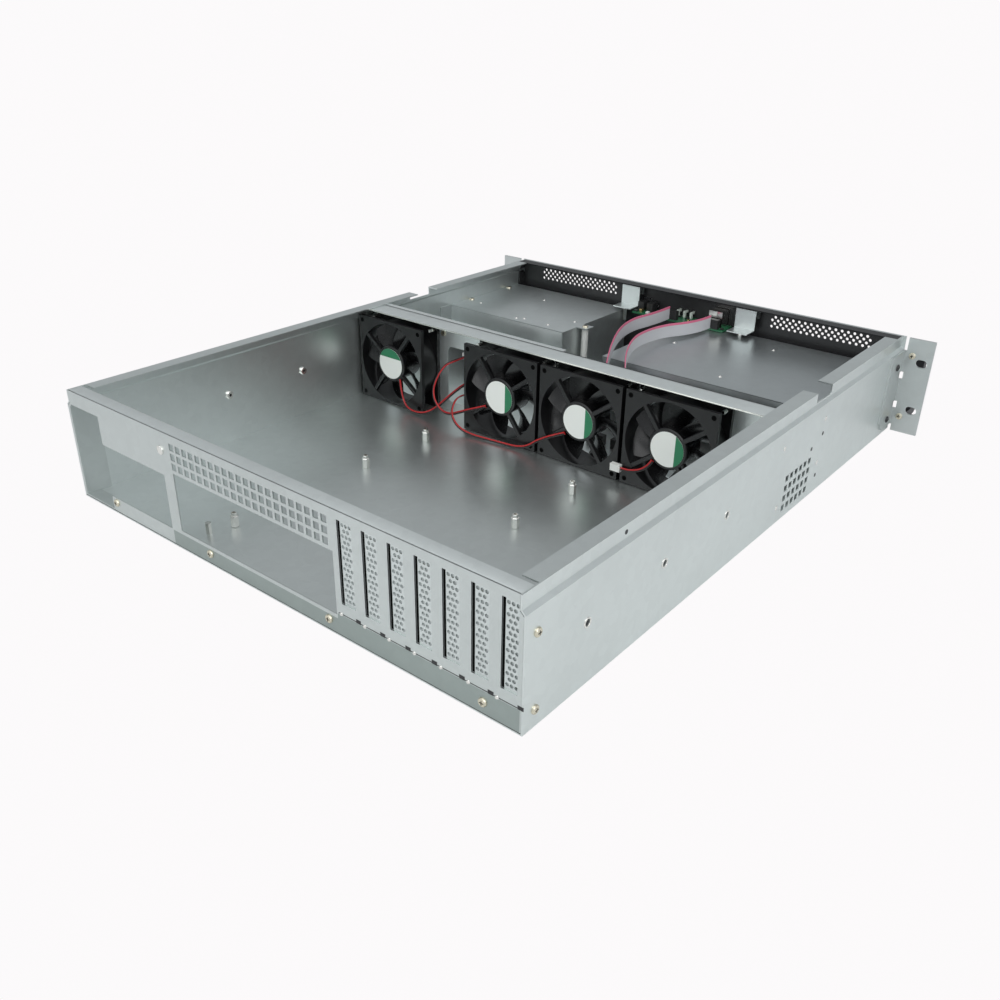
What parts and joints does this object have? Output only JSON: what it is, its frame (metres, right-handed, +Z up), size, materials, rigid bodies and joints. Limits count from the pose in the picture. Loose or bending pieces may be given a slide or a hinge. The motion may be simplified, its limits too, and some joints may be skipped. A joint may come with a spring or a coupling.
{
  "type": "empty rackmount server case",
  "caption": "Open 2U rackmount server case in galvanised sheet steel with rear input and card openings, a wall of four fans, two drive cages, a front control panel, black ears and handles",
  "frame": {"origin": "centre of the bounding box in plan, at the underside of the case floor", "axes": "+Z up, the front with its ears and handles faces -Y, the rear panel faces +Y, +X is the power supply side"},
  "size_m": [0.4826, 0.5874, 0.088],
  "materials": {
    "galvanised_sheet": "satin zinc-coated sheet steel",
    "black_paint": "satin black paint",
    "fan_plastic": "semi-matt black moulding",
    "label_paper": "plain white and green label",
    "brass_screw": "yellow passivated screw",
    "dark_screw": "blackened screw",
    "nickel": "bright nickel plate",
    "white_plastic": "white nylon",
    "black_plastic": "matt black moulding",
    "button_plastic": "glossy dark moulding",
    "light_pipe": "milky clear moulding",
    "circuit_board": "green solder mask",
    "lead_red": "soft red insulation beside black",
    "ribbon_grey": "grey flat cable with a pink edge"
  },
  "bodies": {
    "case": {"bracket_posts": "nickel", "button_switches": "black_plastic", "cage_post": "white_plastic", "case_screws": "brass_screw", "chassis_tub": "galvanised_sheet", "connector_rail": "galvanised_sheet", "control_board_lights": "circuit_board", "control_board_power": "circuit_board", "control_board_usb": "circuit_board", "drive_cage_left": "galvanised_sheet", "drive_cage_right": "galvanised_sheet", "ear_fixing_screws": "dark_screw", "ear_left": "galvanised_sheet", "ear_right": "galvanised_sheet", "fan_frame_1": "fan_plastic", "fan_frame_2": "fan_plastic", "fan_frame_3": "fan_plastic", "fan_frame_4": "fan_plastic", "fan_labels": "label_paper", "fan_lead_1": "lead_red", "fan_lead_2": "lead_red", "fan_lead_3": "lead_red", "fan_lead_4": "lead_red", "fan_lead_connectors": "white_plastic", "fan_wall": "galvanised_sheet", "fan_wall_stiffener": "galvanised_sheet", "front_bezel": "galvanised_sheet", "front_subpanel": "black_paint", "handle_left": "black_paint", "handle_right": "black_paint", "handle_screws": "brass_screw", "indicator_lights": "light_pipe", "panel_bracket_left": "galvanised_sheet", "panel_bracket_right": "galvanised_sheet", "rear_panel": "galvanised_sheet", "ribbon_cable_1": "ribbon_grey", "ribbon_cable_2": "ribbon_grey", "ribbon_connectors": "black_plastic", "ribbon_headers": "black_plastic", "short_stud": "nickel", "slot_cover_1": "galvanised_sheet", "slot_cover_2": "galvanised_sheet", "slot_cover_3": "galvanised_sheet", "slot_cover_4": "galvanised_sheet", "slot_cover_5": "galvanised_sheet", "slot_cover_6": "galvanised_sheet", "slot_cover_7": "galvanised_sheet", "standoffs": "nickel", "usb_sockets": "black_plastic"},
    "rotor_1": {"fan_impeller_1": "fan_plastic"},
    "rotor_2": {"fan_impeller_2": "fan_plastic"},
    "rotor_3": {"fan_impeller_3": "fan_plastic"},
    "rotor_4": {"fan_impeller_4": "fan_plastic"},
    "power_key": {"power_button": "button_plastic"},
    "reset_key": {"reset_button": "button_plastic"}
  },
  "joints": [
    {"name": "fan_spin_1", "type": "hinge", "parent": "case", "child": "rotor_1", "pos_m": [0.17, -0.01125, 0.0415], "axis": [0, 1, 0], "continuous": true},
    {"name": "fan_spin_2", "type": "hinge", "parent": "case", "child": "rotor_2", "pos_m": [0.0385, -0.01125, 0.0415], "axis": [0, 1, 0], "continuous": true},
    {"name": "fan_spin_3", "type": "hinge", "parent": "case", "child": "rotor_3", "pos_m": [-0.045, -0.01125, 0.0415], "axis": [0, 1, 0], "continuous": true},
    {"name": "fan_spin_4", "type": "hinge", "parent": "case", "child": "rotor_4", "pos_m": [-0.1285, -0.01125, 0.0415], "axis": [0, 1, 0], "continuous": true},
    {"name": "power_press", "type": "slide", "parent": "case", "child": "power_key", "axis": [0, 1, 0], "range_m": [0, 0.002], "stiffness_N_per_m": 200},
    {"name": "reset_press", "type": "slide", "parent": "case", "child": "reset_key", "axis": [0, 1, 0], "range_m": [0, 0.002], "stiffness_N_per_m": 200}
  ]
}
